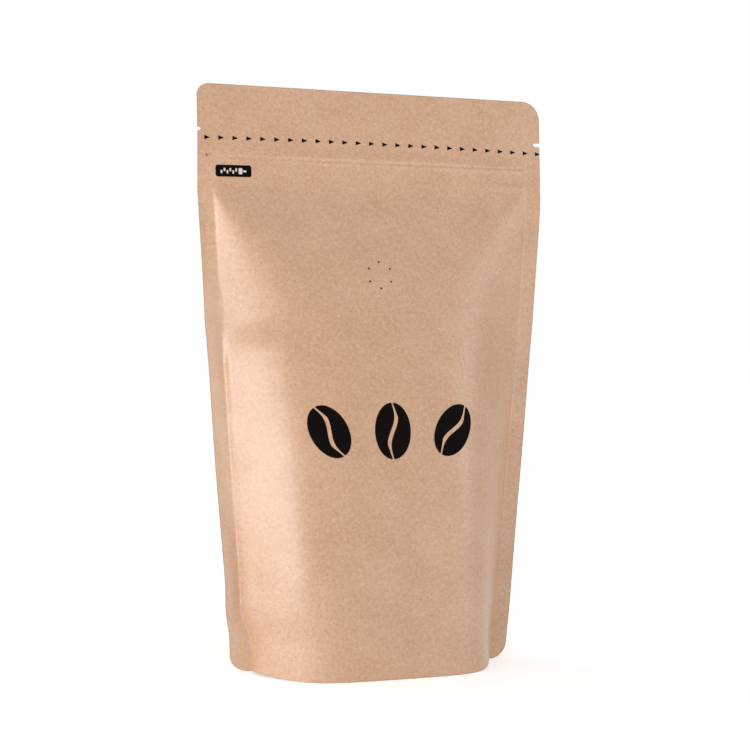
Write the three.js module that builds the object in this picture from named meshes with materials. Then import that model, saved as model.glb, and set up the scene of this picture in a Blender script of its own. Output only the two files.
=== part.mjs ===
// Kraft stand-up coffee pouch, filled and shut.
//
// The pouch is two kraft laminate panels sealed down both sides and across the top, with a
// folded gusset sealed in below them, so that it stands by itself. It is one piece: nothing
// comes off, and its inside can't be seen.
//
// Millimetres, +Z up. The origin is on the ground under the middle of the pouch, the front
// panel faces -Y and the width runs along X.
//
// Each panel is a film that can bend but not stretch. A level cut through it is therefore a
// curve of fixed length: nearly straight over the middle, turned at a soft ridge, and straight
// again down to the side seal. How far the panel stands out at each height sets how sharply
// the ridge turns, and that sets how far the two side seals are drawn in.

import * as THREE from 'three';
import { ParametricGeometry } from 'three/addons/geometries/ParametricGeometry.js';
import { mergeGeometries, mergeVertices } from 'three/addons/utils/BufferGeometryUtils.js';

// Flat sizes of the empty pouch.
const FLAT_WIDTH = 160;
const HEIGHT = 250;
const SIDE_SEAL = 7;
const CORNER_RADIUS = 8;
const GUSSET_HEIGHT = 40;
const SKIRT_HEIGHT = 5;
const SEAM_THICKNESS = 0.6;

// How the filled pouch stands out: half its depth at the ground, how the wall leans in as it
// rises, and the shoulder that closes it towards the flat top.
const BASE_HALF_DEPTH = 33.9;
const WALL_TAPER = 0.086;
const SHOULDER_SLOPE = 0.5;
const SHOULDER_TOP = 212;
const SHOULDER_BLEND = 11.8;

// The ridge along each panel, measured round the film from the panel's middle line: upright
// over the body, then slanting out to the top corner of the bulge.
const RIDGE_BODY = 38.8;
const RIDGE_TOP = 70.6;
const RIDGE_LEAVES = 148;
const RIDGE_ENDS = 204;
const RIDGE_POWER = 1.23;
const RIDGE_SOFTNESS = 12;
const PANEL_CURVE = 0.25;

// The flat top: it leans back a little above the fill, and carries the closure's ridge and a
// tear notch in each edge.
const LEAN = 2.7;
const LEAN_STARTS = 200;
const LEAN_POWER = 1.5;
const CLOSURE_HEIGHT = 221;
const CLOSURE_HALF_WIDTH = 2.2;
const CLOSURE_RISE = 0.6;
const CLOSURE_FADE = 6;
const NOTCH_HEIGHT = 230.7;
const NOTCH_HALF_WIDTH = 0.95;
const NOTCH_DEPTH_LEFT = 1.9;
const NOTCH_DEPTH_RIGHT = 3.2;

// The bottom corners of the side seals stay just off the ground.
const CORNER_LIFT = 2;
const LIFT_STARTS = 40;
const LIFT_REACH = 30;

// The gusset under the pouch: how its seal to the panels climbs towards the sides, and how
// the film between them hangs below the straight line from seal to fold.
const GUSSET_SEAL_POWER = 2.2;
const GUSSET_TAUTNESS = 0.7;
const GUSSET_SAG_POWER = 1.4;

// Mesh steps.
const PANEL_STEPS = 28;
const BODY_ROWS = 25;
const CORNER_STEPS = 5;
const GUSSET_STEPS = 3;
const FILM_SAMPLES = 180;
const SOLVER_STEPS = 40;

const HALF_WIDTH = FLAT_WIDTH / 2;
const FILM_HALF = HALF_WIDTH - SIDE_SEAL;
const GROUND_HALF = HALF_WIDTH - CORNER_RADIUS;

const FRONT = -1;
const MIDDLE = 0;
const BACK = 1;

const clamp01 = (value) => THREE.MathUtils.clamp(value, 0, 1);

/** Half the depth of the bulge at height z: the lesser of wall and shoulder, blended. */
function halfDepth(z) {
  const wall = BASE_HALF_DEPTH - WALL_TAPER * z;
  const shoulder = SHOULDER_SLOPE * (SHOULDER_TOP - z);
  const blend = Math.exp(-wall / SHOULDER_BLEND) + Math.exp(-shoulder / SHOULDER_BLEND);
  return Math.max(0, -SHOULDER_BLEND * Math.log(blend));
}

/** Where the ridge is at height z, measured round the film from the middle line. */
function ridgeAt(z) {
  const rise = clamp01((z - RIDGE_LEAVES) / (RIDGE_ENDS - RIDGE_LEAVES));
  return RIDGE_BODY + (RIDGE_TOP - RIDGE_BODY) * rise ** RIDGE_POWER;
}

/** The level cut at height z for a given turn of the ridge: points from the middle outwards. */
function traceFilm(z, turn) {
  const ridge = ridgeAt(z);
  const step = FILM_HALF / FILM_SAMPLES;
  const points = [{ x: 0, drop: 0, slope: 0 }];
  for (let i = 1; i <= FILM_SAMPLES; i += 1) {
    const s = (i - 0.5) * step;
    const bend = 0.5 * (1 + Math.tanh((s - ridge) / RIDGE_SOFTNESS));
    const slope = turn * (PANEL_CURVE * s / FILM_HALF + bend);
    const last = points[i - 1];
    points.push({
      x: last.x + Math.cos(slope) * step,
      drop: last.drop + Math.sin(slope) * step,
      slope,
    });
  }
  return points;
}

const cuts = new Map();

/** The level cut at height z whose bulge is as deep as halfDepth says. */
function levelCut(z) {
  if (!cuts.has(z)) {
    let low = 0;
    let high = Math.PI / 2;
    for (let i = 0; i < SOLVER_STEPS; i += 1) {
      const turn = (low + high) / 2;
      if (traceFilm(z, turn)[FILM_SAMPLES].drop < halfDepth(z)) low = turn;
      else high = turn;
    }
    cuts.set(z, traceFilm(z, low));
  }
  return cuts.get(z);
}

/** The film at distance s round from the middle line: across, standing out, and its slope. */
function filmAt(s, z) {
  const cut = levelCut(z);
  const edge = cut[FILM_SAMPLES];
  if (s >= FILM_HALF) return { x: edge.x + s - FILM_HALF, out: 0, slope: 0 };
  const place = (s / FILM_HALF) * FILM_SAMPLES;
  const index = Math.min(Math.floor(place), FILM_SAMPLES - 1);
  const part = place - index;
  return {
    x: THREE.MathUtils.lerp(cut[index].x, cut[index + 1].x, part),
    out: edge.drop - THREE.MathUtils.lerp(cut[index].drop, cut[index + 1].drop, part),
    slope: cut[index + 1].slope,
  };
}

/** Half the flat outline's width at height z: round corners, and a notch in each edge. */
function outlineAt(z, isLeft) {
  const fromEnd = Math.min(z, HEIGHT - z);
  const inset = Math.max(0, CORNER_RADIUS - fromEnd);
  const round = CORNER_RADIUS - Math.sqrt(CORNER_RADIUS ** 2 - inset ** 2);
  const depth = isLeft ? NOTCH_DEPTH_LEFT : NOTCH_DEPTH_RIGHT;
  const notch = depth * clamp01(1 - Math.abs(z - NOTCH_HEIGHT) / NOTCH_HALF_WIDTH);
  return HALF_WIDTH - round - notch;
}

/** How far the film's edge is raised off the ground at distance s from the middle line. */
function liftAt(s, z) {
  const outwards = clamp01((s - LIFT_STARTS) / (HALF_WIDTH - LIFT_STARTS));
  const downwards = clamp01(1 - z / LIFT_REACH);
  return CORNER_LIFT * outwards ** 2 * downwards ** 2;
}

/** How far the shut closure inside pushes each panel out. */
function closureAt(s, z) {
  const fromLine = (z - CLOSURE_HEIGHT) / CLOSURE_HALF_WIDTH;
  return CLOSURE_RISE * Math.exp(-(fromLine ** 2)) * clamp01((FILM_HALF - s) / CLOSURE_FADE);
}

const leanAt = (z) => LEAN * clamp01((z - LEAN_STARTS) / (HEIGHT - LEAN_STARTS)) ** LEAN_POWER;

/** A point of the outside, at signed distance s round the film, on the front or back panel. */
function outside(s, z, side, target) {
  const reach = Math.min(Math.abs(s), outlineAt(z, s < 0));
  const film = filmAt(reach, z);
  const out = film.out + SEAM_THICKNESS / 2 + closureAt(reach, z);
  return target.set(Math.sign(s) * film.x, side * out + leanAt(z), z + liftAt(reach, z));
}

/** The same point carried inwards through the thickness of the skirt. */
function inside(s, z, side, target) {
  const reach = Math.min(Math.abs(s), GROUND_HALF);
  const film = filmAt(reach, z);
  const atEnd = reach === GROUND_HALF;
  const x = atEnd ? film.x : film.x - SEAM_THICKNESS * Math.sin(film.slope);
  const y = film.out + SEAM_THICKNESS * (0.5 - Math.cos(film.slope));
  return target.set(Math.sign(s) * x, side * (atEnd ? 0 : Math.max(0, y)), z + liftAt(reach, z));
}

/** Height of the seal between panel and gusset at distance s: an arc up to the side seal. */
function gussetSealAt(s) {
  const outwards = clamp01(Math.abs(s) / GROUND_HALF) ** GUSSET_SEAL_POWER;
  return SKIRT_HEIGHT + (GUSSET_HEIGHT - SKIRT_HEIGHT) * outwards;
}

/** A point of the gusset between its seal (t = 0) and its middle fold (t = 1). */
function gusset(s, t, side, target) {
  const seal = gussetSealAt(s);
  inside(s, seal, side, target);
  const free = GUSSET_HEIGHT - seal;
  const rise = Math.sqrt(Math.max(0, free ** 2 - target.y ** 2));
  target.z += GUSSET_TAUTNESS * rise * t ** GUSSET_SAG_POWER;
  target.y *= 1 - t;
  return target;
}

/** Distances round the film at which the mesh has a column. */
function columnPlaces() {
  const places = [-HALF_WIDTH, -FILM_HALF];
  for (let i = 0; i <= PANEL_STEPS; i += 1) {
    places.push(GROUND_HALF * (2 * i / PANEL_STEPS - 1));
  }
  places.push(FILM_HALF, HALF_WIDTH);
  return places;
}

/** Heights at which the mesh has a row: finer round the corners, the closure and the notch. */
function rowPlaces() {
  const corner = [];
  for (let i = 0; i <= CORNER_STEPS; i += 1) {
    corner.push(CORNER_RADIUS * (1 - Math.cos((i / CORNER_STEPS) * Math.PI / 2)));
  }
  const body = [];
  for (let i = 1; i <= BODY_ROWS; i += 1) {
    body.push(CORNER_RADIUS + (SHOULDER_TOP - CORNER_RADIUS) * i / BODY_ROWS);
  }
  const closure = [-2, -1, 0, 1, 2].map((i) => CLOSURE_HEIGHT + i * CLOSURE_HALF_WIDTH);
  const notch = [-1, 0, 1].map((i) => NOTCH_HEIGHT + i * NOTCH_HALF_WIDTH);
  const top = corner.map((z) => HEIGHT - z).reverse();
  return [...corner, ...body, ...closure, ...notch, ...top];
}

const columns = columnPlaces();
const rows = rowPlaces();
const pick = (places, share) => places[Math.round(share * (places.length - 1))];

/** One panel's outside. */
function panel(side) {
  const across = side === FRONT ? columns : [...columns].reverse();
  const surface = (u, v, target) => outside(pick(across, u), pick(rows, v), side, target);
  return new ParametricGeometry(surface, columns.length - 1, rows.length - 1);
}

/** The cut edge down one side, from panel to panel. */
function sideEdge(isLeft) {
  const s = isLeft ? -HALF_WIDTH : HALF_WIDTH;
  const across = isLeft ? [BACK, MIDDLE, FRONT] : [FRONT, MIDDLE, BACK];
  const surface = (u, v, target) => outside(s, pick(rows, v), pick(across, u), target);
  return new ParametricGeometry(surface, across.length - 1, rows.length - 1);
}

/** The cut edge along the top. */
function topEdge() {
  const across = [FRONT, MIDDLE, BACK];
  const surface = (u, v, target) => outside(pick(columns, u), HEIGHT, pick(across, v), target);
  return new ParametricGeometry(surface, columns.length - 1, across.length - 1);
}

/** The underside: the bottom edge of each panel, its skirt, and the gusset between them. */
function underside() {
  const half = [(s, side, target) => outside(s, 0, side, target)];
  half.push((s, side, target) => inside(s, 0, side, target));
  for (let i = 0; i < GUSSET_STEPS; i += 1) {
    half.push((s, side, target) => gusset(s, i / GUSSET_STEPS, side, target));
  }
  const path = half.map((place) => ({ place, side: BACK }));
  path.push({ place: (s, side, target) => gusset(s, 1, side, target), side: BACK });
  path.push(...half.map((place) => ({ place, side: FRONT })).reverse());
  const surface = (u, v, target) => {
    const { place, side } = pick(path, v);
    return place(pick(columns, u), side, target);
  };
  return new ParametricGeometry(surface, columns.length - 1, path.length - 1);
}

/** Welds the patches into one closed skin and drops the triangles that have no area. */
function closedSkin(patches) {
  const joined = mergeGeometries(patches);
  joined.deleteAttribute('normal');
  joined.deleteAttribute('uv');
  const skin = mergeVertices(joined);
  const kept = [];
  for (let i = 0; i < skin.index.count; i += 3) {
    const [a, b, c] = [0, 1, 2].map((k) => skin.index.getX(i + k));
    if (a !== b && b !== c && c !== a) kept.push(a, b, c);
  }
  skin.setIndex(kept);
  skin.computeVertexNormals();
  return skin;
}

const kraft = new THREE.MeshStandardMaterial({ color: 0xcfaa8a, roughness: 0.8, metalness: 0 });

const pouch = new THREE.Mesh(
  closedSkin([
    panel(FRONT),
    panel(BACK),
    sideEdge(true),
    sideEdge(false),
    topEdge(),
    underside(),
  ]),
  kraft,
);
pouch.name = 'pouch';

const group = new THREE.Group();
group.add(pouch);

export default group;
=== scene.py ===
"""Kraft stand-up coffee pouch, filled and shut, on a plain pale floor.

Two kraft laminate panels are sealed down both sides and across the top, with a folded
gusset sealed in below them. Each panel is a film that bends but doesn't stretch, so a level
cut through it is a curve of fixed length. All surfaces are worked out from film places: the
distance round the film from a panel's middle line, and the height on the flat pouch.

The pouch's lengths are in millimetres up to the point where a mesh is made, which turns
them to metres.
"""

import logging
import math
from collections.abc import Callable
from dataclasses import dataclass
from enum import Enum

import bmesh
import bpy
import numpy as np
from mathutils import Matrix, Vector


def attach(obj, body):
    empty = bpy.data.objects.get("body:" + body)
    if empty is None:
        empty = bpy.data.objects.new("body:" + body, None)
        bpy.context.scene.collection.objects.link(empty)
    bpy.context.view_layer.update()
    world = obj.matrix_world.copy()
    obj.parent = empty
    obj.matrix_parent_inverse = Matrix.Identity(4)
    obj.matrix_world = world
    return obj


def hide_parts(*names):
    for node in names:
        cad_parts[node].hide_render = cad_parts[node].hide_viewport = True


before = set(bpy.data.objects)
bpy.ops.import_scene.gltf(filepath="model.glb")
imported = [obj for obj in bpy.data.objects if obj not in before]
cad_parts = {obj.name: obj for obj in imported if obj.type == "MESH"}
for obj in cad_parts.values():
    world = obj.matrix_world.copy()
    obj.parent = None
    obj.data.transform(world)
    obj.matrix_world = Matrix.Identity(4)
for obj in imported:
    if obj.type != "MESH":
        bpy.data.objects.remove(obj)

Array = np.ndarray
Material = bpy.types.Material
Mesh = bpy.types.Mesh
Node = bpy.types.Node
Object = bpy.types.Object
Socket = bpy.types.NodeSocket
Tree = bpy.types.NodeTree

MM = 0.001
BODY = "root"
NODE = "pouch"
FILM_MAP = "film"
# The cut edge's band: the cut laminate's grey and painted shade of the edge.
CUT_SHADE_MAP = "cut"
# Where a painted sheen lies on the left seal.
SEAL_SHEEN_MAP = "seal_painted_sheen"
WELD_DISTANCE = 1e-7
NEARLY_NOTHING = 1e-9
SHARP_ANGLE = math.radians(38.0)

log = logging.getLogger("pouch")


class Side(Enum):
    """Which panel a surface belongs to; the value is the sign of its outward Y."""

    FRONT = -1
    BACK = 1


class Slot(Enum):
    """Material slots."""

    KRAFT = "kraft"
    INK = "ink"


# ---- Small helpers ----


def ease(value: Array) -> Array:
    """Smooth step: 0 below 0, 1 above 1, and three squares less two cubes between.

    Args:
        value: Where to read the step.

    Returns:
        The step's height at each place.
    """
    part = np.clip(value, 0.0, 1.0)
    return part * part * (3.0 - 2.0 * part)


def linear_colour(code: str) -> tuple[float, float, float, float]:
    """Turns an sRGB hex colour into linear light.

    Args:
        code: Six hex digits with a leading #.

    Returns:
        Red, green, blue and an alpha of 1, in linear light.
    """
    parts = [int(code[i : i + 2], 16) / 255.0 for i in (1, 3, 5)]
    light = [p / 12.92 if p <= 0.04045 else ((p + 0.055) / 1.055) ** 2.4 for p in parts]
    return (light[0], light[1], light[2], 1.0)


def sheet_faces(rows: int, columns: int, wrapped: bool) -> dict[str, Array]:
    """Faces of a closed shell whose two skins are grids of the same size.

    The outer skin holds points 0 to rows * columns - 1, row by row, and the inner skin
    holds as many again. A face's corners run so that the outer skin looks towards column
    direction times row direction.

    Args:
        rows: Points along the first direction.
        columns: Points along the second direction.
        wrapped: True where the first and last column are one seam and the last row is one
            pole, as on a disc, so that only the first row is an open edge.

    Returns:
        Corner indices, four to a face, under "outer", "inner" and "edge".
    """
    skin = rows * columns
    index = np.arange(skin).reshape(rows, columns)
    near = index[:-1, :-1].ravel()
    right = index[:-1, 1:].ravel()
    far = index[1:, 1:].ravel()
    up = index[1:, :-1].ravel()
    outer = np.stack([near, right, far, up], axis=1)
    inner = np.stack([near, up, far, right], axis=1) + skin
    border = index[0]
    if not wrapped:
        border = np.concatenate([index[0], index[1:, -1], index[-1, -2::-1], index[-2::-1, 0]])
    start = border[:-1]
    end = border[1:]
    edge = np.stack([end, start, start + skin, end + skin], axis=1)
    return {"outer": outer, "inner": inner, "edge": edge}


def film_map(s: Array, z: Array, height: float) -> Array:
    """Pattern places as shares of the pouch's height, with 0.5 on the panel's middle line."""
    return np.stack([s / height + 0.5, z / height], axis=-1)


def closed_shell(
    name: str,
    outer: Array,
    inner: Array,
    places: Array,
    wrapped: bool = False,
    marks: dict[str, Array] | None = None,
) -> Object:
    """Makes one closed shell from two grids of points.

    The inner skin's pattern map is shifted by 1, so that it doesn't repeat the outer's.

    Args:
        name: The piece's name.
        outer: Points of the outer skin in millimetres, rows by columns by 3.
        inner: Points of the inner skin, of the same shape.
        places: Pattern places from film_map, rows by columns by 2.
        wrapped: As in sheet_faces.
        marks: Named point attributes for the finish, each rows by columns.

    Returns:
        The new object, with its cut edge in the second material slot.
    """
    rows, columns = outer.shape[:2]
    faces = sheet_faces(rows, columns, wrapped)
    corners = np.concatenate([faces["outer"], faces["inner"], faces["edge"]])
    points = np.concatenate([outer.reshape(-1, 3), inner.reshape(-1, 3)]) * MM
    mesh = bpy.data.meshes.new(name)
    mesh.from_pydata(points.tolist(), [], corners.tolist())
    flat_places = places.reshape(-1, 2)
    both = np.concatenate([flat_places, flat_places + np.array([1.0, 0.0])])
    layer = mesh.uv_layers.new(name=FILM_MAP)
    layer.data.foreach_set("uv", both[corners.ravel()].astype(np.float32).ravel())
    for label, share in (marks or {}).items():
        marked = mesh.attributes.new(label, "FLOAT", "POINT")
        marked.data.foreach_set("value", np.tile(share.ravel(), 2).astype(np.float32))
    is_edge = np.zeros(len(corners), dtype=np.int32)
    is_edge[len(faces["outer"]) + len(faces["inner"]) :] = 1
    mesh.polygons.foreach_set("material_index", is_edge)
    weld(mesh)
    return finished_object(name, mesh)


def linked(name: str, data: bpy.types.ID) -> Object:
    """Puts a mesh, light or camera into the scene as an object at the origin.

    Args:
        name: The object's name.
        data: What it shows.

    Returns:
        The new object.
    """
    thing = bpy.data.objects.new(name, data)
    bpy.context.scene.collection.objects.link(thing)
    return thing


def weld(mesh: Mesh) -> None:
    """Joins points that coincide, which closes seams and poles.

    Args:
        mesh: The mesh to change.
    """
    body = bmesh.new()
    body.from_mesh(mesh)
    bmesh.ops.remove_doubles(body, verts=body.verts, dist=WELD_DISTANCE)
    bmesh.ops.dissolve_degenerate(body, edges=body.edges, dist=WELD_DISTANCE)
    body.to_mesh(mesh)
    body.free()


def finished_object(name: str, mesh: Mesh) -> Object:
    """Shades a mesh, smooth but for its sharp edges, and links its object at the origin.

    Args:
        name: The piece's name.
        mesh: The finished mesh, in metres.

    Returns:
        The new object.
    """
    mesh.shade_smooth()
    mesh.set_sharp_from_angle(angle=SHARP_ANGLE)
    return linked(name, mesh)


def joined(name: str, pieces: list[Object]) -> Object:
    """Joins pieces of one kind into one object.

    Args:
        name: The joined piece's name.
        pieces: Objects at the origin, each with one mesh.

    Returns:
        The joined object.
    """
    body = bmesh.new()
    for piece in pieces:
        body.from_mesh(piece.data)
        bpy.data.objects.remove(piece)
    mesh = bpy.data.meshes.new(name)
    body.to_mesh(mesh)
    body.free()
    return finished_object(name, mesh)


# ---- The film ----


@dataclass(frozen=True)
class PouchSizes:
    """Sizes of the pouch in millimetres, as the empty pouch is cut and as it stands filled."""

    # The empty pouch
    flat_width: float = 160.0
    height: float = 250.0
    side_seal: float = 7.0
    gusset_height: float = 40.0
    skirt_height: float = 5.0
    ply: float = 0.28
    seam_thickness: float = 0.6
    notch_height: float = 230.7
    valve_place: tuple[float, float] = (-2.0, 170.5)

    # The bulge: a wall that thins upwards, a shoulder that closes to the flat top, and a
    # slight curve of the whole panel
    base_half_depth: float = 32.0
    wall_taper: float = 0.0684
    shoulder_slope: float = 0.423
    shoulder_top: float = 212.5
    shoulder_blend: float = 11.8
    shoulder_runout: float = 0.8
    panel_curve: float = -0.013

    # Towards the ground: how the curve grows, the side seals widen, the gusset ends short
    # of them, and the bottom edge lifts
    foot_power: float = 1.02
    foot_curve: float = 0.046
    growth_top: float = 30.0
    growth_bottom: float = 14.0
    ground_half: float = 72.0
    lift_starts: float = 30.0
    lift_reach: float = 30.0

    # The flat top's lean backwards, and the slack waves of the side seals
    lean: float = 2.7
    lean_starts: float = 200.0
    lean_power: float = 1.5
    wave_length: float = 101.0
    wave_inset: float = 1.0
    wave_fade: float = 6.0
    wave_foot: float = 30.0

    @property
    def half_width(self) -> float:
        """Half the flat width."""
        return self.flat_width / 2.0

    @property
    def film_half(self) -> float:
        """Half the film between the side seals."""
        return self.half_width - self.side_seal


@dataclass(frozen=True)
class HalfShape:
    """How one half of both panels bends, in millimetres round the film and up it.

    The ridge stands upright over the body, then leaves for the side seal and ends there in
    a sharp corner. Towards the ground it shifts and bends wider, and the side seal grows
    inwards. The bottom edge is lifted towards the side seal. The tear notch is a vee where
    its power is 1, and a blunt slit where it is 4.
    """

    seal: float = 6.6
    top_radius: float = 5.2
    bottom_radius: float = 6.9
    notch_half: float = 0.95
    notch_depth: float = 1.9
    notch_power: int = 1
    ridge_body: float = 40.84
    ridge_top: float = 71.0
    ridge_leaves: float = 150.0
    ridge_ends: float = 201.5
    ridge_power: float = 1.05
    softness: float = 12.0
    apex_softness: float = 2.0
    foot_shift: float = -2.05
    foot_softness: float = 1.07
    seal_growth: float = 2.9
    lift: float = 2.14
    lift_power: float = 2.2
    wave_rise: float = 0.86
    wave_phase: float = 2.31


class FilledFilm:
    """One half of a panel's film, from its middle line to a side seal, pushed out.

    At each height the film's slope grows from the middle line outwards as the panel's turn
    times a soft step at the ridge, plus a little curve of the whole panel. Its cosine summed
    along the film gives the place across, and its sine the drop towards the side seal. The
    turn at each height is the one whose whole drop is the bulge's depth there.
    """

    ROW_STEP = 0.5
    ROUND_STEP = 0.25
    TURN_TESTS = 40

    def __init__(self, sizes: PouchSizes, shape: HalfShape) -> None:
        """Works the film out once, as tables over height and distance round.

        Args:
            sizes: The pouch's sizes.
            shape: How this half bends.
        """
        self.sizes = sizes
        self.shape = shape
        self.heights = np.arange(0.0, sizes.height + self.ROW_STEP / 2, self.ROW_STEP)
        self.half = sizes.half_width - shape.seal
        count = round(self.half / self.ROUND_STEP)
        self.step = self.half / count
        self.rounds = np.linspace(0.0, self.half, count + 1)
        low = np.zeros_like(self.heights)
        high = np.full_like(self.heights, math.pi / 2)
        depth = self.half_depth(self.heights)
        for _ in range(self.TURN_TESTS):
            turn = (low + high) / 2
            shallow = self._trace(turn)[1][:, -1] < depth
            low = np.where(shallow, turn, low)
            high = np.where(shallow, high, turn)
        self.across, drop = self._trace(low)
        self.out = drop[:, -1:] - drop
        self.slope = self._slope(low, self.rounds)
        # The last place is shared with the flat seal, so its normal leans less.
        self.slope[:, -1] *= 0.5

    def half_depth(self, z: Array) -> Array:
        """The bulge's half depth: the lesser of wall and shoulder, softly blended.

        The shoulder runs out softly into the flat top too. Both blends are the logarithm of
        a sum of exponentials.

        Args:
            z: Heights on the flat pouch.

        Returns:
            Half depths, of the same shape.
        """
        sizes = self.sizes
        wall = sizes.base_half_depth - sizes.wall_taper * z
        shoulder = sizes.shoulder_slope * (sizes.shoulder_top - z)
        blend = sizes.shoulder_blend
        depth = -blend * np.logaddexp(-wall / blend, -shoulder / blend)
        return sizes.shoulder_runout * np.logaddexp(0.0, depth / sizes.shoulder_runout)

    def _foot(self, z: Array) -> Array:
        """How near the ground: 1 there, and 0 from the gusset's top up."""
        sizes = self.sizes
        return (1.0 - np.clip(z / sizes.gusset_height, 0.0, 1.0)) ** sizes.foot_power

    def inner_seal(self, z: Array) -> Array:
        """Distance round to the side seal's inner edge, which grows in beside the gusset.

        Args:
            z: Heights on the flat pouch.

        Returns:
            Distances, of the same shape.
        """
        sizes = self.sizes
        low = ease((sizes.growth_top - z) / (sizes.growth_top - sizes.growth_bottom))
        return self.half - self.shape.seal_growth * low

    def cut_edge(self, z: Array) -> Array:
        """Distance round to the cut edge: half the width, less round corners and the notch.

        A corner's inset is its radius less a root, as on a circle. The notch is its depth
        times the root, of its power, of 1 less the power of the way from its middle.

        Args:
            z: Heights on the flat pouch.

        Returns:
            Distances, of the same shape.
        """
        sizes = self.sizes
        shape = self.shape
        radius = np.where(z > sizes.height / 2, shape.top_radius, shape.bottom_radius)
        inset = np.maximum(0.0, radius - np.minimum(z, sizes.height - z))
        rounding = radius - np.sqrt(radius**2 - inset**2)
        off = np.abs(z - sizes.notch_height) / shape.notch_half
        power = shape.notch_power
        notch = shape.notch_depth * np.clip(1.0 - off**power, 0, 1) ** (1 / power)
        return sizes.half_width - rounding - notch

    def wave(self, z: Array) -> Array:
        """How far the slack side seal lies back: a sine up the seal."""
        turn = 2 * math.pi * z / self.sizes.wave_length
        return self.shape.wave_rise * np.sin(turn + self.shape.wave_phase)

    def _ridge(self, z: Array) -> Array:
        """Distance round to the ridge: upright over the body, then out to the top corner.

        Args:
            z: Heights on the flat pouch.

        Returns:
            Distances, of the same shape.
        """
        shape = self.shape
        rise = np.clip((z - shape.ridge_leaves) / (shape.ridge_ends - shape.ridge_leaves), 0, 1)
        outwards = (shape.ridge_top - shape.ridge_body) * rise**shape.ridge_power
        return shape.ridge_body + outwards + shape.foot_shift * self._foot(z)

    def _softness(self, z: Array) -> Array:
        """How wide the ridge bends: sharp at the top corner, softer as the facet widens.

        Args:
            z: Heights on the flat pouch.

        Returns:
            Widths along the film, of the same shape.
        """
        shape = self.shape
        share = (self.half - self._ridge(z)) / (self.half - shape.ridge_body)
        width = shape.apex_softness + (shape.softness - shape.apex_softness) * share
        return width * (1.0 + (shape.foot_softness - 1.0) * self._foot(z))

    def _slope(self, turn: Array, rounds: Array) -> Array:
        """The film's slope for each height's turn at each distance round.

        Args:
            turn: The turn at each height, in radians.
            rounds: Distances round the film.

        Returns:
            Slopes in radians, heights by distances; 0 past the seal's inner edge.
        """
        sizes = self.sizes
        heights = self.heights[:, None]
        bend = 0.5 * (1.0 + np.tanh((rounds - self._ridge(heights)) / self._softness(heights)))
        curl = sizes.panel_curve + (sizes.foot_curve - sizes.panel_curve) * self._foot(heights)
        curve = curl * rounds / self.half
        inner = self.inner_seal(self.heights)[:, None]
        free = np.clip((inner - rounds) / self.step + 0.5, 0.0, 1.0)
        return turn[:, None] * (bend + curve) * free

    def _trace(self, turn: Array) -> tuple[Array, Array]:
        """Follows the film outwards from the middle line at every height.

        Args:
            turn: The turn at each height, in radians.

        Returns:
            The places across and the drops, heights by distances.
        """
        middles = (self.rounds[1:] + self.rounds[:-1]) / 2
        slope = self._slope(turn, middles)
        start = np.zeros((len(turn), 1))
        across = np.concatenate([start, np.cumsum(np.cos(slope), 1) * self.step], 1)
        drop = np.concatenate([start, np.cumsum(np.sin(slope), 1) * self.step], 1)
        return across, drop

    def at(self, s: Array, z: Array) -> tuple[Array, Array, Array]:
        """Reads the film at any places, straight between the tables' entries.

        Args:
            s: Distances round from the middle line, 0 or more.
            z: Heights on the flat pouch, of the same shape.

        Returns:
            The place across, how far out the film stands, and its slope.
        """
        last_row = len(self.heights) - 1 - NEARLY_NOTHING
        last_column = len(self.rounds) - 1 - NEARLY_NOTHING
        row = np.clip(z / self.ROW_STEP, 0, last_row)
        column = np.clip(np.minimum(s, self.half) / self.step, 0, last_column)
        r = row.astype(int)
        c = column.astype(int)
        fr = row - r
        fc = column - c
        read = []
        for table in (self.across, self.out, self.slope):
            near = table[r, c] * (1 - fc) + table[r, c + 1] * fc
            far = table[r + 1, c] * (1 - fc) + table[r + 1, c + 1] * fc
            read.append(near * (1 - fr) + far * fr)
        beyond = np.maximum(0.0, s - self.half)
        sealed = beyond > 0
        across = read[0] + beyond
        return across, np.where(sealed, 0.0, read[1]), np.where(sealed, 0.0, read[2])


# ---- Relief on the film ----


@dataclass(frozen=True)
class Cockle:
    """Faint waves that a handled film keeps: a sum of a few dozen seeded plane waves."""

    seed: int
    waves: int = 36
    shortest: float = 9.0
    longest: float = 60.0
    rise: float = 0.16

    def at(self, s: Array, z: Array) -> Array:
        """Height of the waves: each has its own direction, length and phase.

        Args:
            s: Distances round from the middle line.
            z: Heights, of the same shape.

        Returns:
            Heights in millimetres.
        """
        draw = np.random.default_rng(self.seed)
        length = self.shortest * (self.longest / self.shortest) ** draw.random(self.waves)
        heading = draw.random(self.waves) * math.pi
        phase = draw.random(self.waves) * 2 * math.pi
        total = np.zeros_like(s)
        for wave, angle, start in zip(length, heading, phase):
            along = s * math.cos(angle) + z * math.sin(angle)
            total += (wave / self.longest) * np.cos(2 * math.pi * along / wave + start)
        return self.rise * total / math.sqrt(self.waves / 2)


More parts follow.
